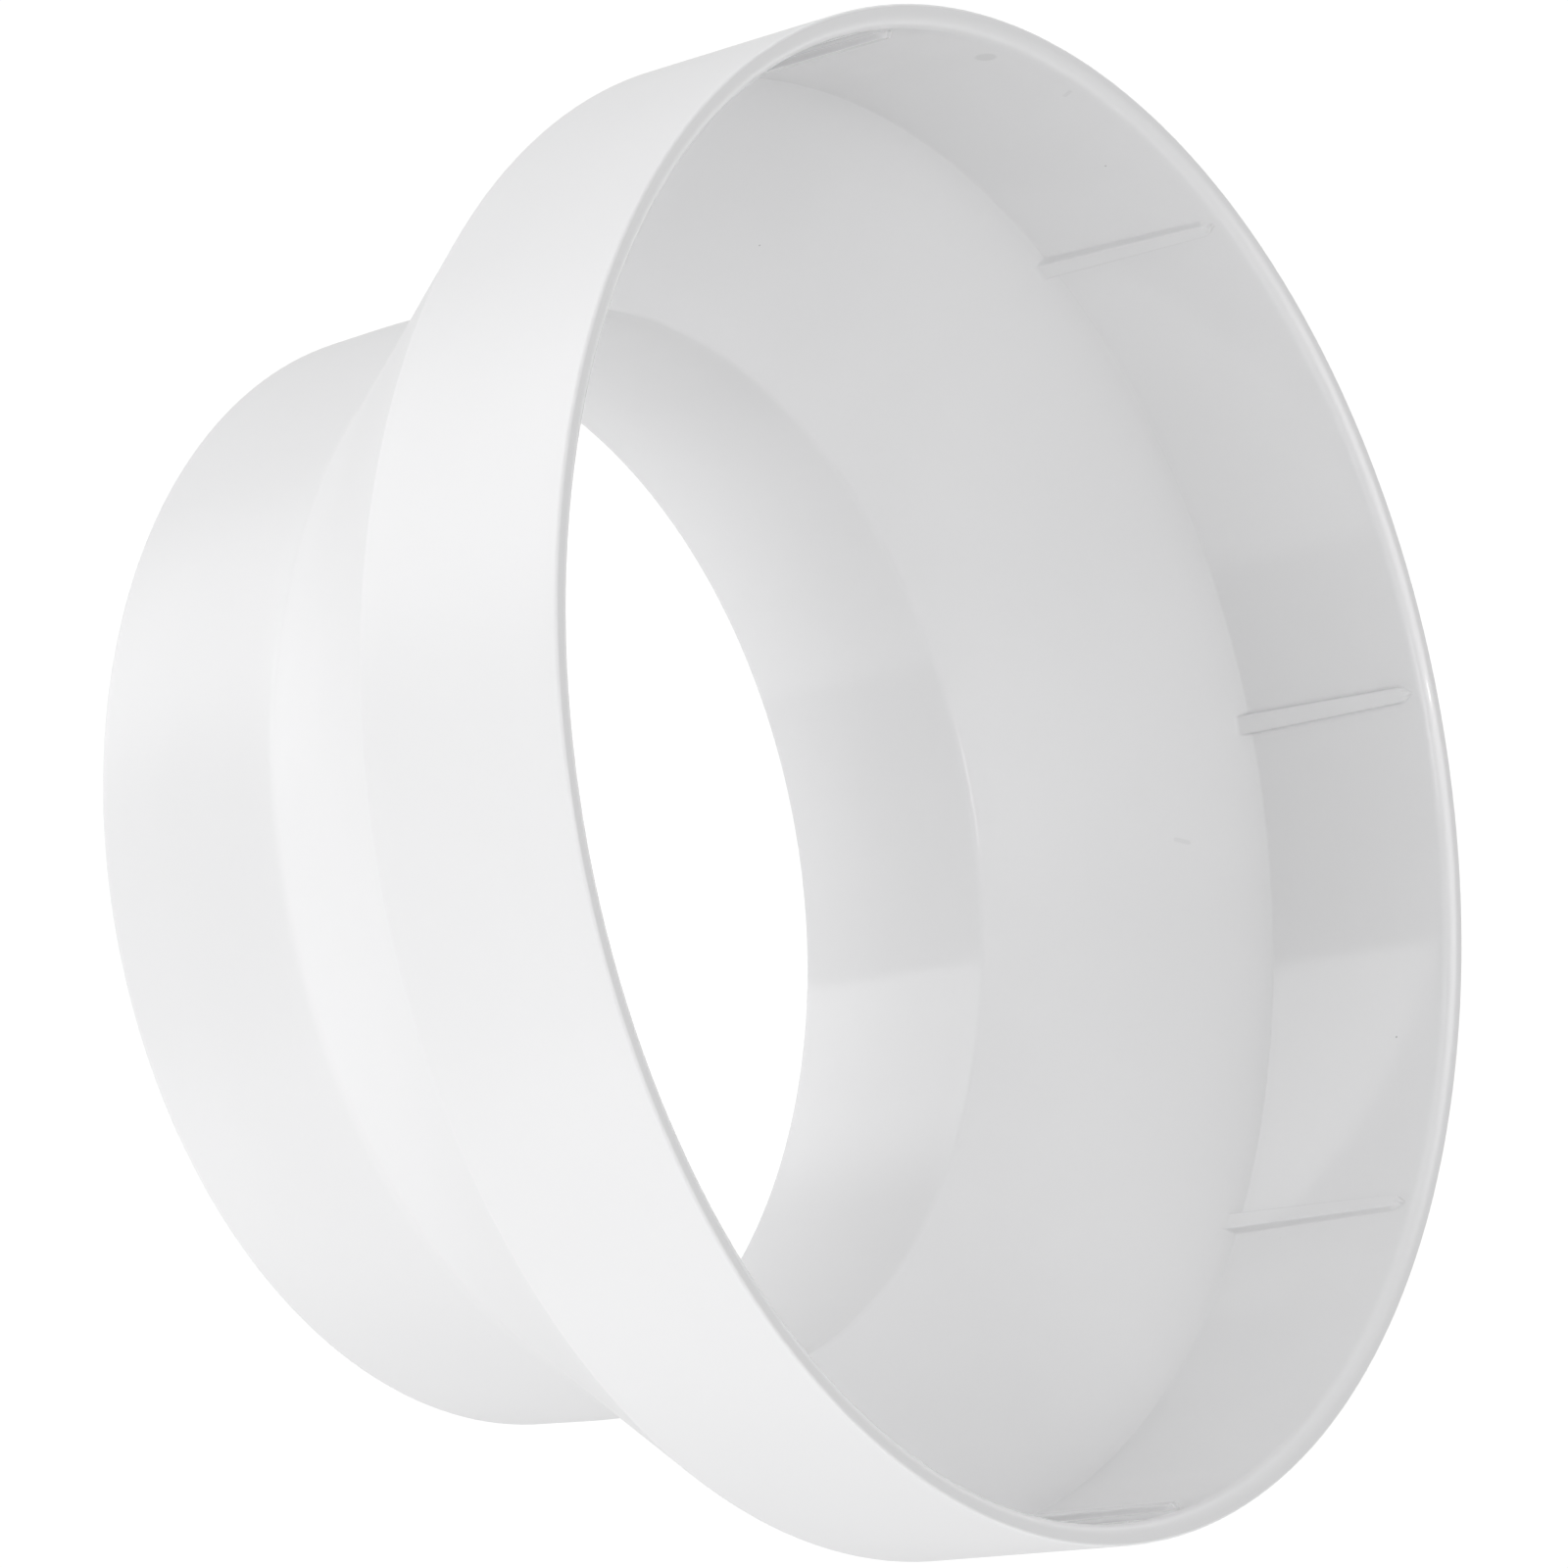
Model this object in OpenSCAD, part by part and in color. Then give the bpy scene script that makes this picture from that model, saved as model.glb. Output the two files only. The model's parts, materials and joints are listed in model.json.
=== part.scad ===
// One-piece round duct reducer: a ribbed socket, a taper and a spigot on one axis.
// It stands on the end of its spigot, with the mouth of its socket up.

/* [Socket] */
// Outside diameter at the mouth
mouth_d = 156.0; // [155.6:0.1:160]
// Outside diameter where the socket meets the taper
shoulder_d = 155.2; // [154.6:0.1:155.4]
// Bore diameter that the larger duct slides into
socket_bore_d = 151.4; // [150:0.1:152]
// Height of the straight band outside the socket
socket_band_h = 24.0; // [20:0.1:35]
// Height of the bore's inner shoulder above the outer one
seat_rise = 0.7; // [0.4:0.1:2]
// Radius of the rounded lead-in at the mouth
lead_in_r = 1.4; // [0.5:0.1:1.4]

/* [Grip ribs] */
// Number of ribs around the socket bore
rib_count = 8; // [4:1:16]
// Height of a rib above the bore at its inner end
rib_height = 0.8; // [0.5:0.05:1]
// Width of a rib at its inner end
rib_width = 2.7; // [2:0.1:3.2]
// Radius of a rib's round section at its mouth end, as a share of its inner end
rib_draft = 0.76; // [0.7:0.01:0.9]
// Distance from the mouth to the tip of a rib's round bar
rib_setback = 2.4; // [2:0.1:8]

/* [Taper] */
// Height of the outside of the taper
taper_h = 27.2; // [24:0.1:34]
// Height of the throat above the foot of the taper
throat_rise = 1.0; // [0.5:0.1:2]
// Radius of the rounded throat edge
throat_r = 1.5; // [0.5:0.1:2]
// Radius of the fillet between the taper and the spigot
fillet_r = 3.0; // [1:0.5:4]

/* [Spigot] */
// Outside diameter that the smaller duct slides over
spigot_d = 119.0; // [118:0.1:121]
// Bore diameter of the spigot
spigot_bore_d = 114.4; // [112:0.1:115]
// Height of the spigot below the taper
spigot_h = 23.8; // [20:0.1:40]
// Height of the eased stretch at the end of the spigot
eased_h = 8.0; // [4:0.5:10]
// Amount that the eased stretch closes in, on the radius
eased_in = 0.4; // [0.2:0.1:0.6]
// Radius of the rounded edge at the end of the spigot
end_r = 0.7; // [0.3:0.1:0.8]

/* [Hidden] */
$fn = 180;
rib_fn = 48;
// Steps in one rounded edge
arc_steps = 8;
mouth_r = mouth_d / 2;
shoulder_r = shoulder_d / 2;
bore_r = socket_bore_d / 2;
spigot_r = spigot_d / 2;
airway_r = spigot_bore_d / 2;
shoulder_z = spigot_h + taper_h;
overall_h = shoulder_z + socket_band_h;
seat_z = shoulder_z + seat_rise;
throat_z = spigot_h + throat_rise;
// Angles of the taper's two faces from the axis
outer_taper = atan2(shoulder_r - spigot_r, taper_h);
inner_taper = atan2(bore_r - airway_r, seat_z - throat_z);
// A rounded corner starts this far from its sharp corner, along each face
fillet_reach = fillet_r * tan(outer_taper / 2);
throat_reach = throat_r * tan(inner_taper / 2);
// The eased stretch is an arc that leaves the straight wall at a tangent
ease_r = (eased_h * eased_h + eased_in * eased_in) / (2 * eased_in);
ease_angle = asin(eased_h / ease_r);
eased_foot = [spigot_r - eased_in, end_r * (1 - sin(ease_angle))];
// Each rib is a round bar set into the wall, so that a cap of its section stands out
bar_r = (rib_width * rib_width / 4 + rib_height * rib_height) / (2 * rib_height);
bar_set_in = bar_r - rib_height;
bar_tip_r = bar_r * rib_draft;
// Depth of wall behind the bore that a rib may fill, and how far its foot goes below the seat
rib_root = 0.5;
rib_foot = 2.2;

// Points on an arc of radius r about c, from angle a0 to angle a1
function arc(c, r, a0, a1) =
    [for (i = [0 : arc_steps]) let (a = a0 + (a1 - a0) * i / arc_steps) c + r * [cos(a), sin(a)]];

// Half section of the wall: the outside from the spigot end up, then the inside back down
module wall_section() {
    end_centre = eased_foot - end_r * [cos(ease_angle), -sin(ease_angle)];
    ease_centre = [spigot_r - ease_r, eased_foot.y + eased_h];
    outside = concat(
        arc(end_centre, end_r, -90, -ease_angle),
        arc(ease_centre, ease_r, -ease_angle, 0),
        arc([spigot_r + fillet_r, spigot_h - fillet_reach], fillet_r, 180, 180 - outer_taper),
        [[shoulder_r, shoulder_z], [mouth_r, overall_h]]
    );
    inside = concat(
        arc([bore_r + lead_in_r, overall_h - lead_in_r], lead_in_r, 90, 180),
        [[bore_r, seat_z]],
        arc([airway_r + throat_r, throat_z - throat_reach], throat_r, 180 - inner_taper, 180),
        [[airway_r, 0]]
    );
    polygon(concat(outside, inside));
}

// One rib: a slightly tapered round bar with a ball tip, let into the wall at +X
module rib() {
    foot_z = seat_z - rib_foot;
    ball_z = overall_h - rib_setback - bar_tip_r - foot_z;
    translate([bore_r + bar_set_in, 0, foot_z])
        rotate_extrude($fn = rib_fn)
            polygon(concat([[0, 0], [bar_r, 0]], arc([0, ball_z], bar_tip_r, 0, 90)));
}

// The ribs, trimmed so that none reaches through the wall
module ribs() {
    intersection() {
        for (i = [0 : rib_count - 1]) {
            rotate([0, 0, 360 * i / rib_count]) rib();
        }
        cylinder(h = overall_h, r = bore_r + rib_root);
    }
}

module duct_reducer() {
    color([0.93, 0.93, 0.92]) {
        rotate_extrude() wall_section();
        ribs();
    }
}

duct_reducer();
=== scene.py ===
"""Looks of the round duct reducer: one fine mesh, its white plastic, the studio and the camera."""

import json
import math

import bmesh
import bpy
import numpy as np
from mathutils import Matrix, Vector


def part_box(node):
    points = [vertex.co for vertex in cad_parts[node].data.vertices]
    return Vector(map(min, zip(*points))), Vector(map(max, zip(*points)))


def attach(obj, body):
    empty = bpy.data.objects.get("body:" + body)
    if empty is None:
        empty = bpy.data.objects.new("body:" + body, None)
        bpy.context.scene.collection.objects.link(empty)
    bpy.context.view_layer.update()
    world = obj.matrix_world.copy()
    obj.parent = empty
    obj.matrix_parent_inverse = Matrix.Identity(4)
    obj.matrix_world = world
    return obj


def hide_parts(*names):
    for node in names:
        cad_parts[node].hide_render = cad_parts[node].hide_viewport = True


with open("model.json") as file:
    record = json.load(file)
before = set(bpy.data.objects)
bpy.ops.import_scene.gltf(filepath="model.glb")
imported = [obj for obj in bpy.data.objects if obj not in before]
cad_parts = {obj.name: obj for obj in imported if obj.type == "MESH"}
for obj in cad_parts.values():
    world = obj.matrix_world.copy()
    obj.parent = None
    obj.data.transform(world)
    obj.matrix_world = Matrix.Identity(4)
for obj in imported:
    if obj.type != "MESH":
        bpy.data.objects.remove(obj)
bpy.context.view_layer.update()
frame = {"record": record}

MM = 0.001
NODE = "duct_reducer"
DIMS = {mount["name"]: mount["dims"] for mount in frame["record"]["mounts"]}
NODE_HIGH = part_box(NODE)[1]

# Sizes that the frame gives, in metres
MOUTH_R = NODE_HIGH[0]
OVERALL_H = NODE_HIGH[2]
BORE_R = DIMS["socket"]["r_mm"] * MM
SPIGOT_R = DIMS["spigot_outside"]["r_mm"] * MM
AIRWAY_R = DIMS["spigot_bore"]["r_mm"] * MM

# Heights and radii of the section between those sizes
SHOULDER_R = 77.6 * MM
SHOULDER_Z = 51.0 * MM
SEAT_Z = 51.7 * MM
THROAT_Z = 24.8 * MM
SPIGOT_H = 23.8 * MM
TAPER_SLOPE = (SHOULDER_R - SPIGOT_R) / (SHOULDER_Z - SPIGOT_H)
EASED_IN = 0.4 * MM
EASED_H = 8.6 * MM

# Radii of the rounded edges
EASE_ROUND = 80 * MM
END_ROUND = 0.7 * MM
FILLET_ROUND = 3.0 * MM
SHOULDER_ROUND = 0.5 * MM
RIM_ROUND = 0.3 * MM
LEAD_IN_ROUND = 1.4 * MM
SEAT_ROUND = 0.3 * MM
THROAT_ROUND = 1.5 * MM
BORE_END_ROUND = 0.25 * MM
ROUND_STEP = math.radians(10)

# Grip ribs
RIB_COUNT = 8
RIB_HEIGHT = 0.8 * MM
RIB_WIDTH = 2.7 * MM
RIB_DRAFT = 0.76
RIB_SETBACK = 2.4 * MM
RIB_FOOT = 2.2 * MM
RIB_TIP_LENGTH = 1.3 * MM
RIB_SIDE = 0.36 * MM
RIB_BLEND = 0.15 * MM

# Mesh density: rows as a spacing and how strongly they crowd towards the start of a stretch
FINE_ROWS = (0.35 * MM, 1)
CROWDED_ROWS = (1.1 * MM, 2)
PLAIN_ROWS = (2.0 * MM, 1)
FINE_COLUMNS = 36
PLAIN_COLUMNS = 24
FINE_HALF_WIDTH = 1.6 * MM
TIP_NARROWING = 0.35

# White plastic
PLASTIC_COLOUR = (0.857, 0.857, 0.863)
PLASTIC_IOR = 1.5
INSIDE_ROUGHNESS = 0.05
OUTSIDE_ROUGHNESS = 0.28
FACING_EDGE = 0.1
WEAR = 0.06
WEAR_SIZE = 9 * MM
MOTTLE = 0.03
MOTTLE_SIZE = 22 * MM
SKIN_SIZE = 0.7 * MM
SKIN_DEPTH = 0.0012 * MM
RIPPLE_SIZE = 12 * MM
RIPPLE_DEPTH = 0.02 * MM

# Shares of a mark's width at which it has faded out and at which it is full
LINE_EDGE = (0.75, 0.35)
SPOT_EDGE = (0.6, 0.4)

# Marks on the plastic: places as angle about the axis in degrees, radius and height, then width
SPECK_SPACING = 9 * MM
SPECK_WIDTH = 0.16 * MM
SPECK_SHARE = 0.3
DIRT_LIGHTNESS = 0.6
ROUND_MARK_DEPTH = 0.28
ROUND_MARKS = [(165, BORE_R, 70.6 * MM, 2.2 * MM)]
SCRATCH_DEPTH = 0.16
SCRATCHES = [
    ((155.0, BORE_R, 71.3 * MM), (155.4, BORE_R, 72.3 * MM), 0.45 * MM),
    ((80.8, 69.9 * MM, 43.3 * MM), (80.4, 70.7 * MM, 44.4 * MM), 0.45 * MM),
]

# Studio light: strengths, and places in degrees, with azimuth 0 towards -Y and 90 towards +X
LOW_LIGHT = 0.63
LOW_LIGHT_TOP = 35
LOW_LIGHT_FULL = -5
HORIZON_LIGHT = 0.63
HORIZON_SPREAD = 40
OVERHEAD_LIGHT = 2.2
OVERHEAD_PLACE = (0, 90)
OVERHEAD_SPREAD = (24, 40)
FRONT_LIGHT = 0.35
FRONT_PLACE = (0, 45)
FRONT_SPREAD = (16, 28)
KEY_LIGHT = 5.0
KEY_PLACE = (-3, 22)
KEY_SPREAD = (18, 4)
RIGHT_WINDOW_LIGHT = 0.6
RIGHT_WINDOW_SIDES = (25, 110)
LEFT_WINDOW_LIGHT = 1.25
LEFT_WINDOW_SIDES = (-38, -100)
RIGHT_WINDOW_HEIGHTS = (-80, 20)
LEFT_WINDOW_HEIGHTS = (-85, -5)
WINDOW_EDGE = math.radians(2)
WINDOW_FADE = math.radians(25)

# Lamp above the mouth: its power in watts, its height, and the radius that it lights at the shoulder
MOUTH_LIGHT = 5.8
MOUTH_LIGHT_HEIGHT = 1.2
MOUTH_LIGHT_REACH = 77 * MM
MOUTH_LIGHT_BLEND = 0.03
MOUTH_LIGHT_RADIUS = 3 * MM

# Floor, and the background that has the same glow
FLOOR_GLOW = 1.05
FLOOR_GAP = 0.05 * MM
FLOOR_HALF_WIDTH = 6.0

# Camera
CAMERA_LENS = 140.75
CAMERA_CLIP = 10 * MM
CAMERA_PLACE = Vector((-3.4, -512.0, 417.0)) * MM
CAMERA_AIM = Vector((-3.4, 2.0, 40.25)) * MM
CAMERA_ROLL = math.radians(78.94)


def rounded_corner(before, corner, after, radius):
    """Points of the arc that rounds one corner of an outline, tangent to both of its sides."""
    back = (before - corner).normalized()
    onward = (after - corner).normalized()
    half_angle = back.angle(onward) / 2
    reach = radius / math.tan(half_angle)
    centre = corner + (back + onward).normalized() * (radius / math.sin(half_angle))
    start = corner + back * reach - centre
    turn = math.pi - 2 * half_angle
    side = 1 if back.x * onward.y - back.y * onward.x < 0 else -1
    steps = max(2, math.ceil(turn / ROUND_STEP))
    arc = []
    for i in range(steps + 1):
        angle = side * turn * i / steps
        cos, sin = math.cos(angle), math.sin(angle)
        arc.append(centre + Vector((start.x * cos - start.y * sin, start.x * sin + start.y * cos)))
    return arc


def wall_outline():
    """The closed section of the wall as (radius, height) points: up the outside, then down the inside."""
    corners = [
        (AIRWAY_R, 0, BORE_END_ROUND, PLAIN_ROWS),
        (SPIGOT_R - EASED_IN, 0, END_ROUND, PLAIN_ROWS),
        (SPIGOT_R, EASED_H, EASE_ROUND, PLAIN_ROWS),
        (SPIGOT_R, SPIGOT_H, FILLET_ROUND, PLAIN_ROWS),
        (SHOULDER_R, SHOULDER_Z, SHOULDER_ROUND, PLAIN_ROWS),
        (MOUTH_R, OVERALL_H, RIM_ROUND, PLAIN_ROWS),
        (BORE_R, OVERALL_H, LEAD_IN_ROUND, FINE_ROWS),
        (BORE_R, SEAT_Z, SEAT_ROUND, CROWDED_ROWS),
        (AIRWAY_R, THROAT_Z, THROAT_ROUND, PLAIN_ROWS),
    ]
    places = [Vector(corner[:2]) for corner in corners]
    outline = []
    for i, (_, _, radius, _) in enumerate(corners):
        arc = rounded_corner(places[i - 1], places[i], places[(i + 1) % len(corners)], radius)
        if outline:
            outline += stretch(outline[-1], arc[0], *corners[i - 1][3])
        outline += arc
    outline += stretch(outline[-1], outline[0], *corners[-1][3])
    return np.array([tuple(point) for point in outline])


def stretch(start, end, step, crowding):
    """Points between two points, without the two themselves: even, or crowded towards the start."""
    count = max(1, math.ceil((end - start).length / step))
    return [start.lerp(end, (i / count) ** crowding) for i in range(1, count)]


def rib_draft(heights):
    """How much of the height at its foot a rib has left at each height."""
    foot_z = SEAT_Z - RIB_FOOT
    top_z = OVERALL_H - RIB_SETBACK
    share = np.clip((heights - foot_z) / (top_z - foot_z), 0, 1)
    return 1 + (RIB_DRAFT - 1) * share


def rib_narrowing(heights):
    """How much of the width at its foot a rib has left at each height, down to nothing at its round tip."""
    tip_z = OVERALL_H - RIB_SETBACK - RIB_TIP_LENGTH
    past_tip = np.maximum(heights - tip_z, 0) / RIB_TIP_LENGTH
    return rib_draft(heights) * np.sqrt(np.maximum(1 - past_tip**2, 0))


def column_angles(narrowing):
    """Angles of each row's columns: close together over a rib, following its sides, and wide elsewhere."""
    pitch = 2 * math.pi / RIB_COUNT
    half = FINE_HALF_WIDTH / BORE_R * narrowing
    fine = np.linspace(-half, half, FINE_COLUMNS, endpoint=False)
    plain = np.linspace(half, pitch - half, PLAIN_COLUMNS, endpoint=False)
    one_pitch = np.concatenate([fine, plain])
    return np.concatenate([one_pitch + i * pitch for i in range(RIB_COUNT)]).T


def rib_surface(angles, heights):
    """Radius of the nearest rib's crown and sloping sides, or a large radius where there is no rib."""
    pitch = 2 * math.pi / RIB_COUNT
    aside = BORE_R * np.abs((angles + pitch / 2) % pitch - pitch / 2)
    half_width = RIB_WIDTH / 2 * rib_narrowing(heights)
    side = RIB_SIDE * np.maximum(rib_narrowing(heights), TIP_NARROWING)
    rise = np.clip((half_width - aside) / side, 0, 1)
    crown = rise**2 * (3 - 2 * rise)
    surface = BORE_R - RIB_HEIGHT * rib_draft(heights) * crown
    return np.where(crown > 0, surface, BORE_R + RIB_HEIGHT)


def smooth_min(a, b, blend):
    """The lower of two surfaces, with a small fillet where they meet."""
    share = np.clip(0.5 + 0.5 * (b - a) / blend, 0, 1)
    return b + (a - b) * share - blend * share * (1 - share)


def build_reducer():
    """The whole moulding as one closed mesh, turned from its section, with the ribs raised from the bore."""
    outline = wall_outline()
    taper_r = SHOULDER_R - (SHOULDER_Z - outline[:, 1]) * TAPER_SLOPE
    inside = (outline[:, 0] < BORE_R + RIM_ROUND) & (outline[:, 0] < taper_r - RIM_ROUND)
    inside &= outline[:, 1] > THROAT_Z + THROAT_ROUND
    narrowing = np.maximum(rib_narrowing(outline[:, 1]), TIP_NARROWING)
    turned = column_angles(np.where(inside, narrowing, 1))
    radii = np.repeat(outline[:, :1], turned.shape[1], axis=1)
    heights = np.repeat(outline[:, 1:], turned.shape[1], axis=1)
    ribs = rib_surface(turned[inside], heights[inside])
    radii[inside] = smooth_min(radii[inside], ribs, RIB_BLEND)
    points = np.stack([radii * np.cos(turned), radii * np.sin(turned), heights], axis=-1)
    return grid_mesh("duct_reducer_moulding", points)


def grid_mesh(name, points):
    """A closed ring of quads from a grid of points, which joins up along both of its directions."""
    rows, columns = points.shape[:2]
    index = np.arange(rows * columns).reshape(rows, columns)
    over = np.roll(index, -1, axis=0)
    along = np.roll(index, -1, axis=1)
    diagonal = np.roll(over, -1, axis=1)
    faces = np.stack([index, along, diagonal, over], axis=-1).reshape(-1, 4)
    mesh = bpy.data.meshes.new(name)
    mesh.from_pydata(points.reshape(-1, 3).tolist(), [], faces.tolist())
    mesh.validate()
    work = bmesh.new()
    work.from_mesh(mesh)
    bmesh.ops.recalc_face_normals(work, faces=work.faces)
    work.to_mesh(mesh)
    work.free()
    mesh.polygons.foreach_set("use_smooth", [True] * len(mesh.polygons))
    piece = bpy.data.objects.new(name, mesh)
    bpy.context.scene.collection.objects.link(piece)
    return piece


def arithmetic(tree, operation, *values):
    """A maths node on numbers or sockets; gives its result."""
    node = tree.nodes.new("ShaderNodeMath")
    node.operation = operation
    for socket, value in zip(node.inputs, values):
        if isinstance(value, bpy.types.NodeSocket):
            tree.links.new(value, socket)
        else:
            socket.default_value = value
    return node.outputs[0]


def fade(tree, value, none_at, full_at):
    """0 at one value, 1 at another, and a smooth change between them."""
    node = tree.nodes.new("ShaderNodeMapRange")
    node.interpolation_type = "SMOOTHSTEP"
    tree.links.new(value, node.inputs["Value"])
    node.inputs["From Min"].default_value = none_at
    node.inputs["From Max"].default_value = full_at
    return node.outputs["Result"]


def noise(tree, place, size, detail=2):
    """Soft irregular variation about 0.5, in patches of about the given size."""
    node = tree.nodes.new("ShaderNodeTexNoise")
    node.inputs["Scale"].default_value = 1 / size
    node.inputs["Detail"].default_value = detail
    tree.links.new(place, node.inputs["Vector"])
    return node.outputs["Fac"]


def around_axis(angle, radius, height):
    """A place on the moulding from its angle about the axis in degrees, its radius and its height."""
    turn = math.radians(angle)
    return Vector((radius * math.cos(turn), radius * math.sin(turn), height))


def near_line(tree, place, start, end, width):
    """1 along a short straight line between two places and 0 away from it."""
    offset = tree.nodes.new("ShaderNodeVectorMath")
    offset.operation = "SUBTRACT"
    tree.links.new(place, offset.inputs[0])
    offset.inputs[1].default_value = (start + end) / 2
    spread = tree.nodes.new("ShaderNodeVectorMath")
    spread.operation = "DOT_PRODUCT"
    tree.links.new(offset.outputs[0], spread.inputs[0])
    spread.inputs[1].default_value = (end - start).normalized()
    length = tree.nodes.new("ShaderNodeVectorMath")
    length.operation = "LENGTH"
    tree.links.new(offset.outputs[0], length.inputs[0])
    along = arithmetic(tree, "ABSOLUTE", spread.outputs["Value"])
    past = arithmetic(tree, "MAXIMUM", arithmetic(tree, "SUBTRACT", along, (end - start).length / 2), 0)
    whole = arithmetic(tree, "POWER", length.outputs["Value"], 2)
    aside = arithmetic(tree, "SUBTRACT", whole, arithmetic(tree, "POWER", along, 2))
    beside = arithmetic(tree, "MAXIMUM", aside, 0)
    squared = arithmetic(tree, "ADD", beside, arithmetic(tree, "POWER", past, 2))
    return fade(tree, arithmetic(tree, "SQRT", squared), width * LINE_EDGE[0], width * LINE_EDGE[1])


def near_point(tree, place, point, width):
    """1 within a round spot and 0 away from it."""
    away = tree.nodes.new("ShaderNodeVectorMath")
    away.operation = "DISTANCE"
    tree.links.new(place, away.inputs[0])
    away.inputs[1].default_value = point
    return fade(tree, away.outputs["Value"], width * SPOT_EDGE[0], width * SPOT_EDGE[1])


def specks(tree, place, spacing, width, share):
    """A few tiny round spots, in a share of the cells of an irregular grid."""
    cells = tree.nodes.new("ShaderNodeTexVoronoi")
    cells.inputs["Scale"].default_value = 1 / spacing
    tree.links.new(place, cells.inputs["Vector"])
    chosen = tree.nodes.new("ShaderNodeSeparateColor")
    tree.links.new(cells.outputs["Color"], chosen.inputs[0])
    spot = fade(tree, cells.outputs["Distance"], width / spacing, width / spacing / 2)
    return arithmetic(tree, "MULTIPLY", spot, arithmetic(tree, "LESS_THAN", chosen.outputs["Red"], share))


def inside_share(tree, place):
    """1 on surfaces that face the axis and 0 on those that face outwards."""
    geometry = tree.nodes.new("ShaderNodeNewGeometry")
    flat = tree.nodes.new("ShaderNodeVectorMath")
    flat.operation = "MULTIPLY"
    tree.links.new(place, flat.inputs[0])
    flat.inputs[1].default_value = (1, 1, 0)
    outwards = tree.nodes.new("ShaderNodeVectorMath")
    outwards.operation = "NORMALIZE"
    tree.links.new(flat.outputs[0], outwards.inputs[0])
    facing = tree.nodes.new("ShaderNodeVectorMath")
    facing.operation = "DOT_PRODUCT"
    tree.links.new(outwards.outputs[0], facing.inputs[0])
    tree.links.new(geometry.outputs["Normal"], facing.inputs[1])
    return fade(tree, facing.outputs["Value"], FACING_EDGE, -FACING_EDGE)


def mixed(tree, share, nothing, everything):
    """A number between two, by a share from 0 to 1."""
    return arithmetic(tree, "ADD", nothing, arithmetic(tree, "MULTIPLY", share, everything - nothing))


def white_plastic():
    """White moulding: polished inside, satin outside, with faint mottling, specks and handling marks."""
    material = bpy.data.materials.new("white_plastic")
    material.use_nodes = True
    tree = material.node_tree
    shader = tree.nodes["Principled BSDF"]
    shader.inputs["IOR"].default_value = PLASTIC_IOR
    place = tree.nodes.new("ShaderNodeTexCoord").outputs["Object"]

    dirt = specks(tree, place, SPECK_SPACING, SPECK_WIDTH, SPECK_SHARE)
    for angle, radius, height, width in ROUND_MARKS:
        mark = near_point(tree, place, around_axis(angle, radius, height), width)
        dirt = arithmetic(tree, "MAXIMUM", dirt, arithmetic(tree, "MULTIPLY", mark, ROUND_MARK_DEPTH))
    for start, end, width in SCRATCHES:
        line = near_line(tree, place, around_axis(*start), around_axis(*end), width)
        dirt = arithmetic(tree, "MAXIMUM", dirt, arithmetic(tree, "MULTIPLY", line, SCRATCH_DEPTH))
    mottle = mixed(tree, noise(tree, place, MOTTLE_SIZE), 1 - MOTTLE / 2, 1 + MOTTLE / 2)
    lightness = arithmetic(tree, "MULTIPLY", mottle, mixed(tree, dirt, 1, DIRT_LIGHTNESS))
    tint = tree.nodes.new("ShaderNodeVectorMath")
    tint.operation = "SCALE"
    tint.inputs[0].default_value = PLASTIC_COLOUR
    tree.links.new(lightness, tint.inputs["Scale"])
    tree.links.new(tint.outputs[0], shader.inputs["Base Color"])

    polish = mixed(tree, inside_share(tree, place), OUTSIDE_ROUGHNESS, INSIDE_ROUGHNESS)
    wear = arithmetic(tree, "MULTIPLY", noise(tree, place, WEAR_SIZE, 4), WEAR)
    tree.links.new(arithmetic(tree, "ADD", polish, wear), shader.inputs["Roughness"])

    skin = arithmetic(tree, "MULTIPLY", noise(tree, place, SKIN_SIZE, 3), SKIN_DEPTH)
    ripple = arithmetic(tree, "MULTIPLY", noise(tree, place, RIPPLE_SIZE, 0), RIPPLE_DEPTH)
    bump = tree.nodes.new("ShaderNodeBump")
    bump.inputs["Distance"].default_value = 1
    tree.links.new(arithmetic(tree, "ADD", skin, ripple), bump.inputs["Height"])
    tree.links.new(bump.outputs["Normal"], shader.inputs["Normal"])
    return material


def floor():
    """A pale light table: it glows evenly and casts nothing back, so it is the same white all over."""
    mesh = bpy.data.meshes.new("floor")
    half = FLOOR_HALF_WIDTH
    corners = [(-half, -half, 0), (half, -half, 0), (half, half, 0), (-half, half, 0)]
    mesh.from_pydata(corners, [], [(0, 1, 2, 3)])
    table = bpy.data.objects.new("floor", mesh)
    table.location.z = -FLOOR_GAP
    table.visible_diffuse = False
    table.visible_glossy = False
    table.visible_shadow = False
    bpy.context.scene.collection.objects.link(table)
    material = bpy.data.materials.new("floor")
    material.use_nodes = True
    shader = material.node_tree.nodes["Principled BSDF"]
    shader.inputs["Base Color"].default_value = (0, 0, 0, 1)
    shader.inputs["Specular IOR Level"].default_value = 0
    shader.inputs["Emission Color"].default_value = (1, 1, 1, 1)
    shader.inputs["Emission Strength"].default_value = FLOOR_GLOW
    mesh.materials.append(material)


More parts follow.
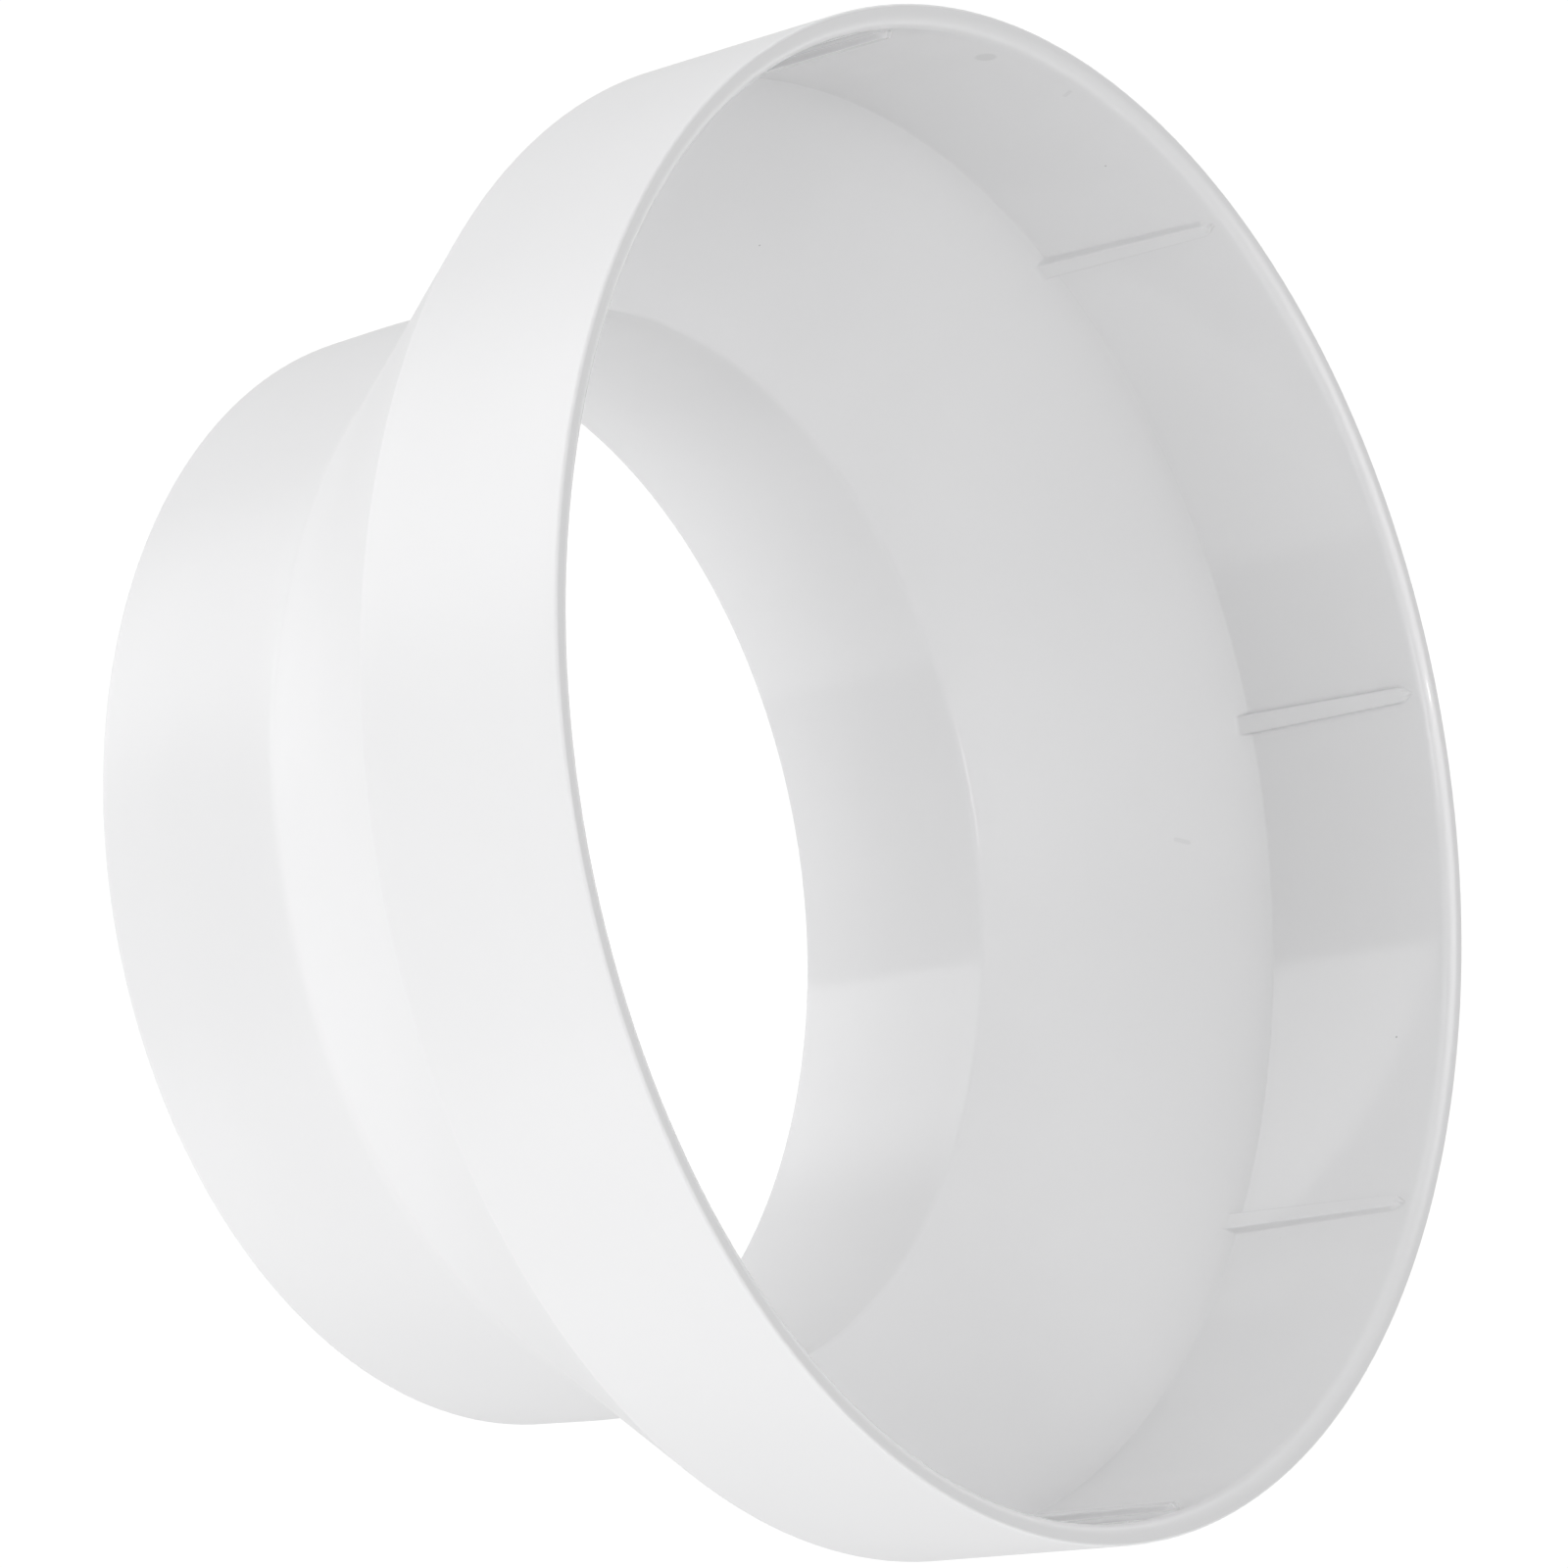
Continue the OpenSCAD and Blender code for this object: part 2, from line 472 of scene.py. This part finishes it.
def disc_light(tree, direction, azimuth, elevation, radius, softness, strength):
    """A round soft light far away: azimuth 0 is towards -Y and 90 towards +X, all in degrees."""
    turn, rise = math.radians(azimuth), math.radians(elevation)
    towards = (math.sin(turn) * math.cos(rise), -math.cos(turn) * math.cos(rise), math.sin(rise))
    aim = tree.nodes.new("ShaderNodeVectorMath")
    aim.operation = "DOT_PRODUCT"
    aim.inputs[1].default_value = towards
    tree.links.new(direction, aim.inputs[0])
    outer = math.cos(math.radians(radius + softness / 2))
    inner = math.cos(math.radians(max(radius - softness / 2, 0)))
    return arithmetic(tree, "MULTIPLY", fade(tree, aim.outputs["Value"], outer, inner), strength)


def strip_light(tree, azimuth, elevation, place, half_size, strength):
    """A long low light far away, soft at its edges; places and sizes are in degrees."""
    sides = []
    for angle, middle, half in zip((azimuth, elevation), place, half_size):
        off = arithmetic(tree, "ABSOLUTE", arithmetic(tree, "SUBTRACT", angle, math.radians(middle)))
        sides.append(fade(tree, off, math.radians(half), math.radians(half / 2)))
    return arithmetic(tree, "MULTIPLY", arithmetic(tree, "MULTIPLY", *sides), strength)


def window_light(tree, azimuth, elevation, sides, heights, strength):
    """A tall light with a crisp inner side, which fades out towards its outer side, its top and its foot."""
    inner, outer = (math.radians(side) for side in sides)
    foot, top = (math.radians(height) for height in heights)
    edges = [
        fade(tree, azimuth, inner, inner + math.copysign(WINDOW_EDGE, outer)),
        fade(tree, azimuth, outer, (inner + outer) / 2),
        fade(tree, elevation, foot, foot + WINDOW_FADE),
        fade(tree, elevation, top, top - WINDOW_FADE),
    ]
    light = edges[0]
    for edge in edges[1:]:
        light = arithmetic(tree, "MULTIPLY", light, edge)
    return arithmetic(tree, "MULTIPLY", light, strength)


def mouth_light():
    """A narrow lamp straight above, with a nearly crisp edge: it lights the inside but not the rim."""
    lamp = bpy.data.lights.new("mouth_light", "SPOT")
    lamp.energy = MOUTH_LIGHT
    lamp.spot_size = 2 * math.atan(MOUTH_LIGHT_REACH / (MOUTH_LIGHT_HEIGHT - SHOULDER_Z))
    lamp.spot_blend = MOUTH_LIGHT_BLEND
    lamp.shadow_soft_size = MOUTH_LIGHT_RADIUS
    holder = bpy.data.objects.new("mouth_light", lamp)
    holder.location.z = MOUTH_LIGHT_HEIGHT
    bpy.context.scene.collection.objects.link(holder)


def studio():
    """Light from far away: a low ring, a window on each side, a long key, one in front, one overhead."""
    world = bpy.data.worlds.new("studio")
    world.use_nodes = True
    tree = world.node_tree
    direction = tree.nodes.new("ShaderNodeTexCoord").outputs["Generated"]
    split = tree.nodes.new("ShaderNodeSeparateXYZ")
    tree.links.new(direction, split.inputs[0])
    towards_front = arithmetic(tree, "MULTIPLY", split.outputs["Y"], -1)
    azimuth = arithmetic(tree, "ARCTAN2", split.outputs["X"], towards_front)
    elevation = arithmetic(tree, "ARCSINE", split.outputs["Z"])
    low = fade(tree, elevation, math.radians(LOW_LIGHT_TOP), math.radians(LOW_LIGHT_FULL))
    level = fade(tree, arithmetic(tree, "ABSOLUTE", elevation), math.radians(HORIZON_SPREAD), 0)
    right = (RIGHT_WINDOW_SIDES, RIGHT_WINDOW_HEIGHTS, RIGHT_WINDOW_LIGHT)
    left = (LEFT_WINDOW_SIDES, LEFT_WINDOW_HEIGHTS, LEFT_WINDOW_LIGHT)
    lights = [
        arithmetic(tree, "MULTIPLY", low, LOW_LIGHT),
        arithmetic(tree, "MULTIPLY", level, HORIZON_LIGHT),
        disc_light(tree, direction, *OVERHEAD_PLACE, *OVERHEAD_SPREAD, OVERHEAD_LIGHT),
        disc_light(tree, direction, *FRONT_PLACE, *FRONT_SPREAD, FRONT_LIGHT),
        strip_light(tree, azimuth, elevation, KEY_PLACE, KEY_SPREAD, KEY_LIGHT),
        window_light(tree, azimuth, elevation, *right),
        window_light(tree, azimuth, elevation, *left),
    ]
    total = lights[0]
    for light in lights[1:]:
        total = arithmetic(tree, "ADD", total, light)
    plain = tree.nodes.new("ShaderNodeMix")
    plain.inputs["B"].default_value = FLOOR_GLOW
    tree.links.new(tree.nodes.new("ShaderNodeLightPath").outputs["Is Camera Ray"], plain.inputs["Factor"])
    tree.links.new(total, plain.inputs["A"])
    tree.links.new(plain.outputs["Result"], tree.nodes["Background"].inputs["Strength"])
    tree.nodes["Background"].inputs["Color"].default_value = (1, 1, 1, 1)
    bpy.context.scene.world = world
    bpy.context.scene.view_settings.view_transform = "Standard"


def camera():
    """The camera looks down into the mouth, rolled so that the reducer's axis lies across the frame."""
    data = bpy.data.cameras.new("camera")
    data.lens = CAMERA_LENS
    data.clip_start = CAMERA_CLIP
    rig = bpy.data.objects.new("camera", data)
    level = (CAMERA_AIM - CAMERA_PLACE).to_track_quat("-Z", "Y").to_matrix().to_4x4()
    rig.matrix_world = Matrix.Translation(CAMERA_PLACE) @ level @ Matrix.Rotation(CAMERA_ROLL, 4, "Z")
    bpy.context.scene.collection.objects.link(rig)
    bpy.context.scene.camera = rig


camera()
reducer = build_reducer()
reducer.data.materials.append(white_plastic())
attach(reducer, "root")
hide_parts(NODE)
floor()
studio()
mouth_light()
